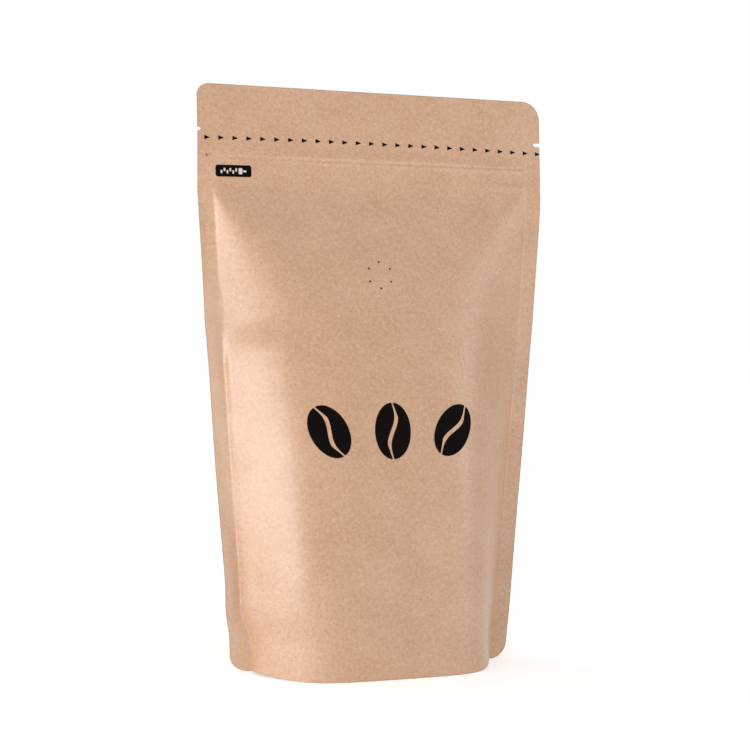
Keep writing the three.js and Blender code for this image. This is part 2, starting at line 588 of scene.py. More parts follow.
@dataclass(frozen=True)
class Relief:
    """What shows through or is pressed into one panel, in millimetres of rise.

    Each feature is a hump along a line or over an area, faded out at the side seals.
    """

    sizes: PouchSizes
    cockle: Cockle
    cockle_foot: float = 12.0
    closure_heights: tuple[float, float] = (220.3, 218.5)
    closure_rises: tuple[float, float] = (0.85, 0.42)
    closure_above: tuple[float, float] = (2.6, 0.5)
    closure_below: tuple[float, float] = (0.6, 0.85)
    closure_middle: float = 0.6
    closure_swing: float = 0.4
    closure_fade: float = 2.0
    seal_press: float = 0.07
    seal_press_width: float = 0.7
    valve_radius: float = 10.5
    valve_rise: float = 0.07
    valve_edge: float = 1.2
    tuck_side: float = -1.0
    tuck_rise: float = 1.5
    tuck_low: float = 129.0
    tuck_climb: float = 12.0
    tuck_inner: float = 39.4
    tuck_above: float = 17.0
    tuck_below: float = 34.0
    tuck_curve: float = 1.6
    tuck_seal_fade: float = 4.0
    facet_starts: float = 34.0
    facet_fade: float = 14.0

    def at(self, inner: Array, s: Array, z: Array) -> Array:
        """The whole relief, along the film's outward normal.

        Args:
            inner: Distances round to the side seal's inner edge.
            s: Signed distances round from the middle line.
            z: Heights, of the same shape.

        Returns:
            Rises in millimetres.
        """
        from_seal = inner - np.abs(s)
        inside = ease(from_seal / self.closure_fade)
        waves = self.cockle.at(s, z) * inside * ease(z / self.cockle_foot)
        return (
            self._closure(s, z) * inside
            + self._valve(s, z)
            + self._tuck(s, z) * ease(from_seal / self.tuck_seal_fade)
            - self.seal_press * ease(-from_seal / self.seal_press_width)
            + waves
        )

    def _closure(self, s: Array, z: Array) -> Array:
        """The shut closure's two tracks: bell curves, each flank with its own width.

        They show more towards the right side seal than towards the left.

        Args:
            s: Signed distances round from the middle line.
            z: Heights, of the same shape.

        Returns:
            Rises in millimetres.
        """
        strength = self.closure_middle + self.closure_swing * s / self.sizes.film_half
        total = np.zeros_like(z)
        for height, rise, above, below in zip(
            self.closure_heights, self.closure_rises, self.closure_above, self.closure_below
        ):
            width = np.where(z > height, above, below)
            total += rise * np.exp(-(((z - height) / width) ** 2))
        return total * strength

    def _valve(self, s: Array, z: Array) -> Array:
        """The valve's flat round body behind the film: a low plateau with a soft edge."""
        from_middle = np.hypot(s - self.sizes.valve_place[0], z - self.sizes.valve_place[1])
        return self.valve_rise * ease((self.valve_radius - from_middle) / self.valve_edge)

    def _tuck(self, s: Array, z: Array) -> Array:
        """A tuck across one side facet: the film steps out along a line and eases back.

        The line climbs from the seal towards the ridge. Above it the rise fades within a
        short band, and below it much more slowly.

        Args:
            s: Signed distances round from the middle line.
            z: Heights, of the same shape.

        Returns:
            Rises in millimetres.
        """
        sizes = self.sizes
        reach = np.clip((np.abs(s) - self.tuck_inner) / (sizes.film_half - self.tuck_inner), 0, 1)
        line = self.tuck_low + self.tuck_climb * (1.0 - reach**self.tuck_curve)
        above = 1.0 - ease((z - line) / self.tuck_above)
        below = np.exp(-np.maximum(0.0, line - z) / self.tuck_below)
        facet = ease((np.abs(s) - self.facet_starts) / self.facet_fade)
        on_facet = facet * (np.sign(s) == self.tuck_side)
        return self.tuck_rise * np.where(z > line, above, below) * on_facet


# ---- Pouch parts ----


@dataclass
class Panel:
    """One panel: the film from seal to seal, with its seals, round corners and notches."""

    sizes: PouchSizes
    left: FilledFilm
    right: FilledFilm
    relief: Relief
    side: Side
    body_step: float = 1.3
    fine_step: float = 0.45
    fine_band: tuple[float, float] = (214.0, 226.0)
    seal_step: float = 0.5
    seal_band: float = 4.0
    notch_rows: tuple[float, ...] = (0.25, 0.5, 0.7, 0.8, 0.87, 0.92, 0.95, 1.3)
    notch_clear: float = 1.6
    corner_steps: int = 14
    cut_width: float = 0.55
    # Where the left seal's painted sheen lies: its soft edge, its top and its fade upwards.
    sheen_edge_width: float = 0.6
    sheen_top: float = 192.0
    sheen_fade: float = 40.0

    def rows(self) -> Array:
        """Heights of the mesh's rows: finer at the corners, the closure and the notches.

        Returns:
            Heights, rising.
        """
        sizes = self.sizes
        radius = self.right.shape.top_radius
        corner = radius * (1.0 - np.cos(np.linspace(0.0, math.pi / 2, self.corner_steps + 1)))
        low, high = self.fine_band
        body = np.arange(radius, low, self.body_step)
        closure = np.arange(low, high, self.fine_step)
        header = np.arange(high, sizes.height - radius, self.body_step)
        header = header[np.abs(header - sizes.notch_height) > self.notch_clear]
        offsets = np.array(self.notch_rows)
        notch = sizes.notch_height + np.concatenate([-offsets, [0.0], offsets])
        every = [corner, body, closure, header, notch, sizes.height - corner]
        return np.unique(np.round(np.concatenate(every), 4))

    def columns(self) -> Array:
        """Distances round of the mesh's columns: finer along the side seals' inner edges.

        Returns:
            Signed distances, rising.
        """
        sizes = self.sizes
        fine_from = sizes.film_half - self.seal_band
        coarse = np.linspace(0.0, fine_from, round(fine_from / self.body_step) + 1)
        fine = np.arange(fine_from, sizes.half_width + self.seal_step / 2, self.seal_step)
        last = [sizes.half_width - self.seal_step / 2]
        half = np.unique(np.round(np.concatenate([coarse, fine, last]), 4))
        return np.concatenate([-half[:0:-1], half])

    def by_half(self, s: Array, read: Callable[[FilledFilm], Array]) -> Array:
        """Reads both halves, and takes at each place the half that s lies in."""
        return np.where(s < 0, read(self.left), read(self.right))

    def place(self, s: Array, z: Array, rise: float | Array) -> Array:
        """Turns film places into points on or off the panel's outer skin.

        The film's place across and out gives the point; its slope gives the outward normal,
        (sine, cosine) across and out, along which the relief and the rise are added. The
        flat top leans back, and the bottom corners are lifted a little.

        Args:
            s: Signed distances round from the middle line.
            z: Heights on the flat pouch, of the same shape.
            rise: Distance off the outer skin, negative inwards.

        Returns:
            Points in millimetres, with the inputs' shape and 3 more.
        """
        reach = np.abs(s)
        across, out, slope = self.by_half(s, lambda half: np.stack(half.at(reach, z)))
        inner = self.by_half(s, lambda half: half.inner_seal(z))
        off = self.relief.at(inner, s, z) + rise
        x = np.sign(s) * (across + off * np.sin(slope))
        stand = out + self.sizes.seam_thickness / 2 + off * np.cos(slope)
        y = self.side.value * stand + self._sway(s, z)
        return np.stack([x, y, z + self._lift(s, z)], axis=-1)

    def _sway(self, s: Array, z: Array) -> Array:
        """How far both panels lie back together: the lean of the top and slack side seals.

        Args:
            s: Signed distances round from the middle line.
            z: Heights on the flat pouch, of the same shape.

        Returns:
            Distances back, in millimetres.
        """
        sizes = self.sizes
        rise = np.clip((z - sizes.lean_starts) / (sizes.height - sizes.lean_starts), 0, 1)
        lean = sizes.lean * rise**sizes.lean_power
        from_seal = np.abs(s) - sizes.film_half + sizes.wave_inset
        seal = ease(from_seal / sizes.wave_fade) * ease(z / sizes.wave_foot)
        return lean + self.by_half(s, lambda half: half.wave(z)) * seal * (1.0 - rise)

    def _lift(self, s: Array, z: Array) -> Array:
        """How far the film's bottom edge is raised towards the side seals.

        The rise is a power of the way out times the square of the way down.

        Args:
            s: Signed distances round from the middle line.
            z: Heights on the flat pouch, of the same shape.

        Returns:
            Rises in millimetres.
        """
        sizes = self.sizes
        outwards = (np.abs(s) - sizes.lift_starts) / (sizes.half_width - sizes.lift_starts)
        outwards = np.clip(outwards, 0, 1)
        downwards = np.clip(1.0 - z / sizes.lift_reach, 0, 1)
        lift = self.by_half(s, lambda half: half.shape.lift * outwards**half.shape.lift_power)
        return lift * downwards**2

    def build(self) -> Object:
        """Makes the panel as a closed shell one ply thick.

        Its marks are the cut line along every edge, grey of the cut laminate with painted shade of
        the edge, and a painted sheen on the left seal's inner part, which fades out upwards.

        Returns:
            The panel's object.
        """
        height = self.sizes.height
        s, z = np.meshgrid(self.columns() * -self.side.value, self.rows())
        outline = self.by_half(s, lambda half: half.cut_edge(z))
        s = np.sign(s) * np.minimum(np.abs(s), outline)
        outer = self.place(s, z, 0.0)
        inner = self.place(s, z, -self.sizes.ply)
        # A band along every cut edge, for the cut laminate's grey and painted shade of the edge.
        to_cut = np.minimum(outline - np.abs(s), np.minimum(z, height - z))
        cut = ease(1.0 - to_cut / self.cut_width)
        # Painted sheen on the left seal's inner part, fading out upwards.
        seal = self.by_half(s, lambda half: half.inner_seal(z))
        painted_sheen = ease((np.abs(s) - seal) / self.sheen_edge_width + 0.5)
        painted_sheen = painted_sheen * ease((self.sheen_top - z) / self.sheen_fade) * (s < 0)
        name = f"{self.side.name.lower()}_panel"
        marks = {CUT_SHADE_MAP: cut, SEAL_SHEEN_MAP: painted_sheen}
        return closed_shell(name, outer, inner, film_map(s, z, height), marks=marks)


@dataclass
class Gusset:
    """The folded gusset: sealed to both panels' skirts and folded up between them."""

    sizes: PouchSizes
    front: Panel
    back: Panel
    seal_power: float = 2.2
    seal_fade: float = 3.0
    tautness: float = 0.7
    sag_power: float = 1.4
    slack_seed: int = 31
    column_step: float = 1.6
    skirt_steps: int = 8
    web_steps: int = 22
    thin_fade: float = 6.0
    map_shift: tuple[float, float] = (0.0, 2.0)

    def seal_height(self, s: Array) -> Array:
        """Height of the seal to the panels: a power curve that climbs to the side seals.

        Args:
            s: Signed distances round from the middle line.

        Returns:
            Heights, of the same shape.
        """
        sizes = self.sizes
        outwards = np.clip(np.abs(s) / sizes.ground_half, 0, 1) ** self.seal_power
        return sizes.skirt_height + (sizes.gusset_height - sizes.skirt_height) * outwards

    def _half(self, panel: Panel, s: Array) -> Array:
        """The gusset's lower skin from one panel's bottom edge to the middle fold.

        Up the skirt it follows the panel, one seam thickness in. From the seal to the fold
        the film's free length gives the rise, and a power of the way gives the sag.

        Args:
            panel: The panel it is sealed to.
            s: Distances round of the columns.

        Returns:
            Points, steps by columns by 3.
        """
        sizes = self.sizes
        seal = self.seal_height(s)
        up = np.linspace(0.0, 1.0, self.skirt_steps + 1)[:, None] * seal
        at_end = ease((sizes.ground_half - np.abs(s)) / self.seal_fade)
        skirt = panel.place(np.broadcast_to(s, up.shape), up, -sizes.seam_thickness * at_end)
        side = panel.side.value
        skirt[..., 1] = side * np.maximum(0.0, side * skirt[..., 1]) * (at_end > 0)
        top = skirt[-1]
        free = sizes.gusset_height - seal
        rise = self.tautness * np.sqrt(np.maximum(0.0, free**2 - top[:, 1] ** 2))
        way = np.linspace(0.0, 1.0, self.web_steps + 1)[1:, None]
        x = np.broadcast_to(top[:, 0], (self.web_steps, len(s)))
        y = top[:, 1] * (1.0 - way)
        z = top[:, 2] + rise * way**self.sag_power
        slack = Cockle(seed=self.slack_seed + side, shortest=14.0, longest=48.0, rise=0.5)
        z = z + slack.at(x, y) * at_end * np.sin(math.pi * way) ** 2
        return np.concatenate([skirt, np.stack([x, y, z], axis=-1)])

    def build(self) -> Object:
        """Makes the gusset as a closed shell that thins to nothing in the side seals.

        Returns:
            The gusset's object.
        """
        half = self.sizes.ground_half
        s = np.linspace(-half, half, round(2 * half / self.column_step) + 1)
        back = self._half(self.back, s)
        front = self._half(self.front, s)
        fold = (back[-1:] + front[-1:]) / 2
        lower = np.concatenate([back[:-1], fold, front[-2::-1]])
        normal = np.cross(np.gradient(lower, axis=1), np.gradient(lower, axis=0))
        normal /= np.maximum(NEARLY_NOTHING, np.linalg.norm(normal, axis=-1, keepdims=True))
        thin = np.clip((half - np.abs(s)) / self.thin_fade, 0, 1)[None, :, None]
        upper = lower - normal * self.sizes.ply * thin
        steps = np.linalg.norm(np.diff(lower[:, len(s) // 2], axis=0), axis=1)
        way = np.concatenate([[0.0], np.cumsum(steps)])
        across, along = np.broadcast_arrays(s, way[:, None])
        places = film_map(across, along, self.sizes.height) + np.array(self.map_shift)
        return closed_shell("gusset", lower, upper, places)


# ---- Prints ----


@dataclass(frozen=True)
class InkPad:
    """Lays a thin layer of ink on a panel inside a closed outline.

    The outline is drawn on the flat film. Rings from it to a middle point, each a straight
    share of the way, carry the layer over the panel's curve.
    """

    panel: Panel
    rise: float = 0.045
    sink: float = 0.05
    step: float = 0.7

    def lay(
        self,
        name: str,
        outline: Array,
        middle: tuple[float, float],
        rings: int,
        rise: float | None = None,
    ) -> Object:
        """Makes one closed layer of ink.

        Args:
            name: The piece's name.
            outline: Film places counter-clockwise, points by 2, without the first again.
            middle: A film place that sees the whole outline.
            rings: Rings between outline and middle.
            rise: Height of the ink's face off the panel, where it isn't the usual one.

        Returns:
            The layer's object.
        """
        closed = resampled(np.concatenate([outline, outline[:1]]), self.step)
        share = np.linspace(1.0, 0.0, rings + 1)[:, None, None]
        centre = np.array(middle)
        s, z = np.moveaxis(centre + share * (closed[None] - centre), -1, 0)
        top = self.panel.place(s, z, self.rise if rise is None else rise)
        under = self.panel.place(s, z, -self.sink)
        places = film_map(s, z, self.panel.sizes.height)
        return closed_shell(name, top, under, places, wrapped=True)


def resampled(line: Array, step: float) -> Array:
    """Adds points along a line so that no piece of it is longer than a step.

    Args:
        line: Points by 2.
        step: The longest piece allowed.

    Returns:
        Points by 2, with every corner of the line kept.
    """
    length = np.hypot(*np.diff(line, axis=0).T)
    parts = np.maximum(1, np.ceil(length / step)).astype(int)
    starts = np.repeat(np.arange(len(parts)), parts)
    first = np.concatenate([[0], np.cumsum(parts)[:-1]])
    share = (np.arange(parts.sum()) - first[starts]) / parts[starts]
    points = line[starts] + share[:, None] * (line[starts + 1] - line[starts])
    return np.concatenate([points, line[-1:]])


def turning(degrees: float) -> Array:
    """The matrix, (cos, sin) over (-sin, cos), that turns rows of places counter-clockwise."""
    turn = math.radians(degrees)
    return np.array([[math.cos(turn), math.sin(turn)], [-math.sin(turn), math.cos(turn)]])


def circle(radius: float, steps: int) -> Array:
    """Outline of a circle round the origin, counter-clockwise, steps by 2."""
    angle = np.arange(steps) * 2 * math.pi / steps
    return np.stack([np.cos(angle), np.sin(angle)], axis=1) * radius


def round_box(width: float, height: float, radius: float, steps: int = 6) -> Array:
    """Outline of a box with round corners, counter-clockwise round the origin.

    Args:
        width: Whole width.
        height: Whole height.
        radius: Corner radius.
        steps: Straight steps in a corner.

    Returns:
        Points by 2.
    """
    angle = np.linspace(0.0, math.pi / 2, steps + 1)
    corner = np.stack([np.cos(angle), np.sin(angle)], axis=1) * radius
    reach = np.array([width / 2 - radius, height / 2 - radius])
    turns = [np.round(turning(90.0 * number)) for number in range(4)]
    return np.concatenate([corner @ turn + reach * (np.ones(2) @ turn) for turn in turns])


@dataclass
class TearLine:
    """The tear line: a row of small solid arrowheads from edge to edge."""

    pad: InkPad
    marks: int = 26
    first: float = -75.85
    last: float = 78.95
    end_height: float = 226.83
    fall: float = 0.23
    bow: float = 0.84
    length: float = 2.5
    height: float = 1.9
    tip_inset: float = 0.15
    tip_half: float = 0.12
    edge_clear: float = 0.1

    def build(self) -> Object:
        """Makes every arrowhead, evenly spaced along a slight bow, pointing to the right.

        Returns:
            The tear line's object.
        """
        half = self.height / 2
        back = -self.length / 2
        tip = self.length / 2 - self.tip_inset
        head = np.array([[back, -half], [tip, -self.tip_half], [tip, self.tip_half], [back, half]])
        half_width = self.pad.panel.sizes.half_width
        across = np.linspace(self.first, self.last, self.marks)
        share = across / half_width
        up = self.end_height - self.fall * share + self.bow * (1.0 - share**2)
        marks = []
        for number, middle in enumerate(zip(across, up)):
            outline = head + np.array(middle)
            outline[:, 0] = np.minimum(outline[:, 0], half_width - self.edge_clear)
            seen = (float(outline[:, 0].mean()), middle[1])
            marks.append(self.pad.lay(f"tear_mark_{number}", outline, seen, 1))
        return joined("tear_line_print", marks)


@dataclass(frozen=True)
class PaleBox:
    """A small box with round corners, and how finely it is drawn: corner steps and rings."""

    width: float
    height: float
    radius: float
    steps: int
    rings: int


@dataclass
class ClosureBadge:
    """The small black badge below the closure, with a row of closure teeth in pale ink."""

    pad: InkPad
    middle: tuple[float, float] = (-64.35, 213.45)
    width: float = 15.9
    height: float = 5.0
    radius: float = 1.1
    turn: float = 0.9
    rings: int = 8
    teeth: int = 6
    tooth_pitch: float = 1.3
    tooth_offset: float = 0.45
    row_shift: float = 2.1
    slider_gap: float = 1.9
    pale_rise: float = 0.075
    tooth: PaleBox = PaleBox(0.72, 1.4, 0.2, 3, 1)
    slider: PaleBox = PaleBox(1.7, 2.6, 0.5, 4, 2)
    pull: PaleBox = PaleBox(1.5, 0.8, 0.35, 4, 2)

    def build(self) -> Object:
        """Makes the badge's black ground."""
        outline = round_box(self.width, self.height, self.radius) @ turning(self.turn)
        return self.pad.lay(
            "closure_badge_print", outline + np.array(self.middle), self.middle, self.rings
        )

    def build_teeth(self) -> Object:
        """Makes the teeth, turn about below and above the line, and the slider at their end.

        Returns:
            The pale print's object.
        """
        run = self.tooth_pitch * (self.teeth - 1)
        start = self.middle[0] - run / 2 - self.row_shift
        swing = (-self.tooth_offset, self.tooth_offset)
        row = [
            (start + number * self.tooth_pitch, swing[number % 2], self.tooth)
            for number in range(self.teeth)
        ]
        slider = start + run + self.slider_gap
        row += [(slider, 0.0, self.slider), (slider + self.slider_gap, 0.0, self.pull)]
        marks = []
        for number, (across, up, box) in enumerate(row):
            place = (across, self.middle[1] + up)
            outline = round_box(box.width, box.height, box.radius, box.steps) + np.array(place)
            name = f"pale_box_{number}"
            marks.append(self.pad.lay(name, outline, place, box.rings, self.pale_rise))
        return joined("closure_teeth_print", marks)


@dataclass
class BeanRow:
    """The centre print: three roasted coffee beans in solid black, the outer two tilted."""

    pad: InkPad
    middle: tuple[float, float] = (-0.4, 104.3)
    spacing: float = 28.5
    tilt: float = 32.0
    half_length: float = 12.0
    half_width: float = 8.2
    slit_swing: float = 1.7
    slit_half: float = 0.85
    slit_least: float = 0.1
    slit_end: float = 0.97
    ring_middle: float = 0.55
    outline_steps: int = 40
    rings: int = 7

    def _half_bean(self) -> Array:
        """Outline of one half: an elliptic arc, closed by one edge of the S-shaped slit.

        The slit's middle swings as a sine of the way along the bean, and the slit narrows
        as a half circle does towards both ends.

        Returns:
            Points by 2, counter-clockwise, with the bean upright round the origin.
        """
        angle = np.linspace(-math.pi / 2, math.pi / 2, self.outline_steps)[1:-1]
        way = np.linspace(self.slit_end, -self.slit_end, self.outline_steps)
        gap = self.slit_half * np.sqrt(1.0 - way**2) + self.slit_least
        across = [self.half_width * np.cos(angle), gap + self.slit_swing * np.sin(math.pi * way)]
        along = [self.half_length * np.sin(angle), self.half_length * way]
        return np.stack([np.concatenate(across), np.concatenate(along)], axis=1)

    def build(self) -> Object:
        """Makes both halves of each bean; the left half is the right one turned half round.

        Returns:
            The print's object.
        """
        right = self._half_bean()
        marks = []
        for number, step in enumerate((-1, 0, 1)):
            turn = turning(-self.tilt * step)
            middle = np.array(self.middle) + np.array([self.spacing * step, 0.0])
            for half, way in (("right", 1.0), ("left", -1.0)):
                outline = (right * way) @ turn + middle
                seen = np.array([self.ring_middle * self.half_width * way, 0.0]) @ turn + middle
                name = f"bean_{number}_{half}"
                marks.append(self.pad.lay(name, outline, tuple(seen), self.rings))
        return joined("bean_print", marks)


@dataclass
class ValvePinholes:
    """Six pinholes in a ring over the valve, each a flat disc of painted shade where the hole is."""

    pad: InkPad
    ring_radius: float = 5.6
    holes: int = 6
    hole_radius: float = 0.44
    steps: int = 14
    rise: float = 0.06

    def build(self) -> Object:
        """Makes the discs of painted shade, the first at the top of the ring.

        Returns:
            The pinholes' object.
        """
        across, up = self.pad.panel.sizes.valve_place
        ring = self.ring_radius
        marks = []
        for number in range(self.holes):
            turn = 2 * math.pi * number / self.holes
            middle = (across + ring * math.sin(turn), up + ring * math.cos(turn))
            outline = circle(self.hole_radius, self.steps) + np.array(middle)
            marks.append(self.pad.lay(f"bore_{number}", outline, middle, 2, self.rise))
        return joined("valve_pinholes", marks)


@dataclass
class EyeMark:
    """The faint brown dot on the left seal that the pouch was cut to."""

    pad: InkPad
    middle: tuple[float, float] = (-76.0, 219.8)
    radius: float = 0.75
    steps: int = 16

    def build(self) -> Object:
        """Makes the dot."""
        outline = circle(self.radius, self.steps) + np.array(self.middle)
        return self.pad.lay("eye_mark_print", outline, self.middle, 2)


# ---- Finishes ----


def feed(tree: Tree, node: Node, inputs: dict | None, links: dict | None) -> None:
    """Sets values on a node's sockets and links others to what feeds them.

    Args:
        tree: The node tree.
        node: The node.
        inputs: Socket name or number to value.
        links: Socket name or number to the output that feeds it.
    """
    for socket, value in (inputs or {}).items():
        node.inputs[socket].default_value = value
    for socket, source in (links or {}).items():
        tree.links.new(source, node.inputs[socket])


def add_node(
    tree: Tree,
    kind: str,
    inputs: dict | None = None,
    links: dict | None = None,
    **settings: object,
) -> Node:
    """Adds a node with its settings, values and links.

    Args:
        tree: The node tree.
        kind: The node's type name.
        inputs: As in feed.
        links: As in feed.
        **settings: The node's own properties.

    Returns:
        The new node.
    """
    node = tree.nodes.new(kind)
    for name, value in settings.items():
        setattr(node, name, value)
    feed(tree, node, inputs, links)
    return node


def ends(taken: tuple[float, float], given: tuple[float, float] = (0.0, 1.0)) -> dict:
    """The ends of a range that is read and of the range it becomes, for a node's sockets."""
    return {"From Min": taken[0], "From Max": taken[1], "To Min": given[0], "To Max": given[1]}


def new_finish(name: str) -> tuple[Material, Tree, Node]:
    """Starts a material with one principled shader.

    Args:
        name: The material's name.

    Returns:
        The material, its tree and the shader.
    """
    material = bpy.data.materials.new(name)
    material.use_nodes = True
    tree = material.node_tree
    tree.nodes.clear()
    shader = add_node(tree, "ShaderNodeBsdfPrincipled")
    add_node(tree, "ShaderNodeOutputMaterial", links={"Surface": shader.outputs[0]})
    return material, tree, shader


@dataclass(frozen=True)
class Tint:
    """A colour laid over another, as sRGB hex, with its share where its mask is 1."""

    code: str
    share: float

    def over(self, tree: Tree, base: Socket, mask: Socket) -> Socket:
        """Mixes the colour over a base where the mask is.

        Args:
            tree: The node tree.
            base: The colour below.
            mask: Where it lies, from 0 to 1.

        Returns:
            The mixed colour.
        """
        amount = add_node(tree, "ShaderNodeMath", {1: self.share}, {0: mask}, operation="MULTIPLY")
        links = {"Factor": amount.outputs[0], "A": base}
        values = {"B": linear_colour(self.code)}
        return add_node(tree, "ShaderNodeMix", values, links, data_type="RGBA").outputs["Result"]


@dataclass(frozen=True)
class KraftLaminate:
    """Unbleached kraft paper laminated to film, calendered and thinly varnished outside.

    Long fibres cross in several directions, so the eye sees fine light and dark streaks,
    cloudy patches from uneven fibre, and a few dark specks of bark. The varnish leaves a
    soft sheen at low angles. Real fibres are about 0.04 mm wide, too fine to show, so they
    are drawn as wide as a pixel of the render.
    """

    sheet_height: float
    dark: str = "#B88A6A"
    middle: str = "#C49978"
    light: str = "#CFA788"
    tone_ends: tuple[float, float] = (0.28, 0.72)
    cloud_mm: float = 17.0
    grain_mm: float = 1.4
    grain_share: float = 0.6
    swirl_mm: float = 5.0
    swirl_share: float = 0.006
    headings: tuple[float, ...] = (8.0, 71.0, -47.0)
    dark_turn: float = 17.0
    pale_start: float = 3.1
    dark_start: float = 7.7
    fibre_length_mm: float = 2.6
    fibre_width_mm: float = 0.5
    fibre_mask: tuple[float, float] = (0.54, 0.72)
    pale_fibre: Tint = Tint("#DCBCA1", 0.30)
    dark_fibre: Tint = Tint("#A47B5A", 0.26)
    speck_cell_mm: float = 8.0
    speck_mask: tuple[float, float] = (0.075, 0.03)
    bark: Tint = Tint("#8B6346", 0.4)
    # Painted sheen: a pale tint on the left seal, where the left lights fall.
    seal_painted_sheen: Tint = Tint("#E6C7AE", 0.26)
    # The cut laminate's grey along every edge, with painted shade of the rounded edge.
    cut_grey_and_shade: Tint = Tint("#94857A", 0.7)
    roughness: tuple[float, float] = (0.30, 0.44)
    fibre_relief: float = 0.6
    bump_strength: float = 0.6
    bump_mm: float = 0.035

    def _fibres(self, tree: Tree, place: Socket, heading: float, start: float) -> Socket:
        """Streaks along one heading: noise stretched to a fibre's length and cut sharp.

        Args:
            tree: The node tree.
            place: Film places, already swirled.
            heading: Degrees from the direction across the pouch.
            start: Shifts the pattern so that headings don't repeat each other.

        Returns:
            A mask that is 1 on a fibre.
        """
        length = self.fibre_length_mm / self.sheet_height
        width = self.fibre_width_mm / self.sheet_height
        stretch = {
            "Location": (start, start * 0.7, 0.0),
            "Rotation": (0.0, 0.0, math.radians(heading)),
            "Scale": (length, width, 1.0),
        }
        turned = add_node(
            tree, "ShaderNodeMapping", stretch, {"Vector": place}, vector_type="TEXTURE"
        )
        grain = {"Scale": 1.0, "Detail": 1.0, "Roughness": 0.5}
        noise = add_node(tree, "ShaderNodeTexNoise", grain, {"Vector": turned.outputs["Vector"]})
        streak = {"Value": noise.outputs["Fac"]}
        return add_node(tree, "ShaderNodeMapRange", ends(self.fibre_mask), streak).outputs["Result"]

    def _tone(self, tree: Tree, clouds: Socket, grain: Socket) -> Socket:
        """The paper's ground colour: clouds and grain mixed, from dark through to light.

        Args:
            tree: The node tree.
            clouds: Noise of the cloudy patches.
            grain: Noise of the fine grain.

        Returns:
            The colour.
        """
        both = {"A": clouds, "B": grain}
        tone = add_node(tree, "ShaderNodeMix", {"Factor": self.grain_share}, both, data_type="FLOAT")
        ramp = add_node(tree, "ShaderNodeValToRGB", links={"Fac": tone.outputs["Result"]})
        elements = ramp.color_ramp.elements
        for number, code in enumerate((self.dark, self.light)):
            elements[number].position = self.tone_ends[number]
            elements[number].color = linear_colour(code)
        elements.new(0.5).color = linear_colour(self.middle)
        return ramp.outputs["Color"]

    def make(self) -> Material:
        """Builds the material.

        Returns:
            The kraft laminate.
        """
        material, tree, shader = new_finish("kraft_paper_laminate")
        film = add_node(tree, "ShaderNodeUVMap", uv_map=FILM_MAP).outputs["UV"]
        clouds, grain = (
            add_node(
                tree,
                "ShaderNodeTexNoise",
                {"Scale": self.sheet_height / size, "Detail": 3.0, "Roughness": 0.55},
                {"Vector": film},
            ).outputs["Fac"]
            for size in (self.cloud_mm, self.grain_mm)
        )
        slow = {"Scale": self.sheet_height / self.swirl_mm, "Detail": 1.0}
        swirl = add_node(tree, "ShaderNodeTexNoise", slow, {"Vector": film})
        share = {"Factor": self.swirl_share}
        both = {"A": film, "B": swirl.outputs["Color"]}
        bent = add_node(tree, "ShaderNodeMix", share, both, data_type="VECTOR").outputs["Result"]
        colour = self._tone(tree, clouds, grain)
        height = grain
        for number, heading in enumerate(self.headings):
            pale = self._fibres(tree, bent, heading, self.pale_start + number)
            dark = self._fibres(tree, bent, heading + self.dark_turn, self.dark_start + number)
            colour = self.pale_fibre.over(tree, colour, pale)
            colour = self.dark_fibre.over(tree, colour, dark)
            relief = {1: self.fibre_relief}
            links = {0: pale, 2: height}
            total = add_node(tree, "ShaderNodeMath", relief, links, operation="MULTIPLY_ADD")
            height = total.outputs[0]
        size = {"Scale": self.sheet_height / self.speck_cell_mm}
        cells = add_node(tree, "ShaderNodeTexVoronoi", size, {"Vector": bent})
        middles = {"Value": cells.outputs["Distance"]}
        speck = add_node(tree, "ShaderNodeMapRange", ends(self.speck_mask), middles)
        colour = self.bark.over(tree, colour, speck.outputs["Result"])
        # Painted sheen on the left seal, then the cut edge's grey with painted shade.
        for tint, label in ((self.seal_painted_sheen, SEAL_SHEEN_MAP), (self.cut_grey_and_shade, CUT_SHADE_MAP)):
            mark = add_node(tree, "ShaderNodeAttribute", attribute_name=label)
            colour = tint.over(tree, colour, mark.outputs["Fac"])
        gloss = ends((0.0, 1.0), self.roughness)
        rough = add_node(tree, "ShaderNodeMapRange", gloss, {"Value": grain})
        relief = {"Strength": self.bump_strength, "Distance": self.bump_mm * MM}
        bump = add_node(tree, "ShaderNodeBump", relief, {"Height": height})
        values = {"Specular IOR Level": 1.0, "IOR": 1.5}
        links = {
            "Base Color": colour,
            "Normal": bump.outputs["Normal"],
            "Roughness": rough.outputs["Result"],
        }
        feed(tree, shader, values, links)
        return material


@dataclass(frozen=True)
class CutEdge:
    """The laminate's knife-cut edge: the barrier film between paper plies shows grey."""

    sheet_height: float
    colour: str = "#A79A8F"
    deep: str = "#8C7B6E"
    streak_mm: float = 1.2
    roughness: float = 0.5

    def make(self) -> Material:
        """Builds the material.

        Returns:
            The cut edge.
        """
        material, tree, shader = new_finish("cut_laminate_edge")
        film = add_node(tree, "ShaderNodeUVMap", uv_map=FILM_MAP).outputs["UV"]
        size = {"Scale": self.sheet_height / self.streak_mm, "Detail": 2.0}
        streak = add_node(tree, "ShaderNodeTexNoise", size, {"Vector": film})
        colours = {"A": linear_colour(self.deep), "B": linear_colour(self.colour)}
        share = {"Factor": streak.outputs["Fac"]}
        mix = add_node(tree, "ShaderNodeMix", colours, share, data_type="RGBA")
        feed(tree, shader, {"Roughness": self.roughness}, {"Base Color": mix.outputs["Result"]})
        return material


